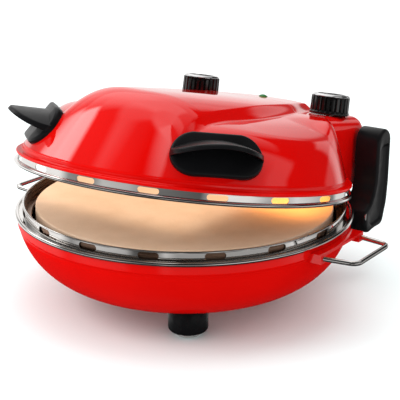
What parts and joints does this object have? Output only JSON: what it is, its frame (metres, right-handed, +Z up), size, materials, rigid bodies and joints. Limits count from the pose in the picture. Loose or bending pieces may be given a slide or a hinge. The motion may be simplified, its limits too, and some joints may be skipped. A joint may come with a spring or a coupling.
{
  "type": "electric pizza maker",
  "caption": "Round countertop electric pizza maker with a domed lid on a rear hinge, a baking stone, knobs and handles.",
  "frame": {"origin": "on the table under the middle of the plan outline", "axes": "+X to the right of a person in front of it, +Y to its back, +Z up"},
  "size_m": [0.432, 0.3702, 0.2346],
  "materials": {
    "red_paint": "gloss enamel",
    "liner_steel": "satin aluminised sheet",
    "bright_steel": "polished",
    "stone": "dry, fine-grained",
    "element_sheath": "dull, heat-tinted",
    "terminal_ceramic": "matt",
    "foot_black": "satin",
    "glide_metal": "polished",
    "screw_steel": "plain",
    "arm_black": "satin",
    "pin_steel": "turned",
    "chrome_wire": "polished",
    "handle_black": "satin",
    "switch_metal": "plated",
    "lens_green": "clear gloss",
    "lamp_glass": "clear",
    "knob_black": "gloss with a bright rim"
  },
  "bodies": {
    "base": {"base_shell": "red_paint", "base_pan": "liner_steel", "base_ring": "bright_steel", "baking_stone": "stone", "stone_posts": "liner_steel", "lower_heating_element": "element_sheath", "lower_element_clips": "bright_steel", "lower_terminal_block": "terminal_ceramic", "feet": "foot_black", "foot_glides": "glide_metal", "foot_screws": "screw_steel", "left_hinge_arm": "arm_black", "right_hinge_arm": "arm_black", "arm_screws": "screw_steel", "hinge_pins": "pin_steel", "left_handle_bracket": "red_paint", "right_handle_bracket": "red_paint", "left_side_handle": "chrome_wire", "right_side_handle": "chrome_wire", "cord_inlet": "arm_black"},
    "lid": {"lid_shell": "red_paint", "lid_rim": "red_paint", "lid_ring": "bright_steel", "lid_liner": "liner_steel", "upper_heating_element": "element_sheath", "upper_element_clips": "bright_steel", "upper_terminal_block": "terminal_ceramic", "control_housing": "red_paint", "hinge_knuckles": "pin_steel", "left_lid_handle": "handle_black", "right_lid_handle": "handle_black", "lid_handle_screws": "screw_steel", "timer_body": "switch_metal", "thermostat_body": "switch_metal", "pilot_lens": "lens_green", "pilot_lamp": "lamp_glass"},
    "timer_dial": {"timer_knob": "knob_black", "timer_shaft": "pin_steel"},
    "thermostat_dial": {"thermostat_knob": "knob_black", "thermostat_shaft": "pin_steel"}
  },
  "joints": [
    {"name": "lid_hinge", "type": "hinge", "parent": "base", "child": "lid", "pos_m": [0, 0.1616, 0.1278], "axis": [-1, 0, 0], "range_deg": [-10.25, 84.75]},
    {"name": "timer_turn", "type": "hinge", "parent": "lid", "child": "timer_dial", "pos_m": [-0.0843, 0.14182, 0.18422], "axis": [0, -0.1779, -0.984], "range_deg": [0, 300]},
    {"name": "thermostat_turn", "type": "hinge", "parent": "lid", "child": "thermostat_dial", "pos_m": [0.0843, 0.14182, 0.18422], "axis": [0, -0.1779, -0.984], "range_deg": [0, 270]}
  ]
}
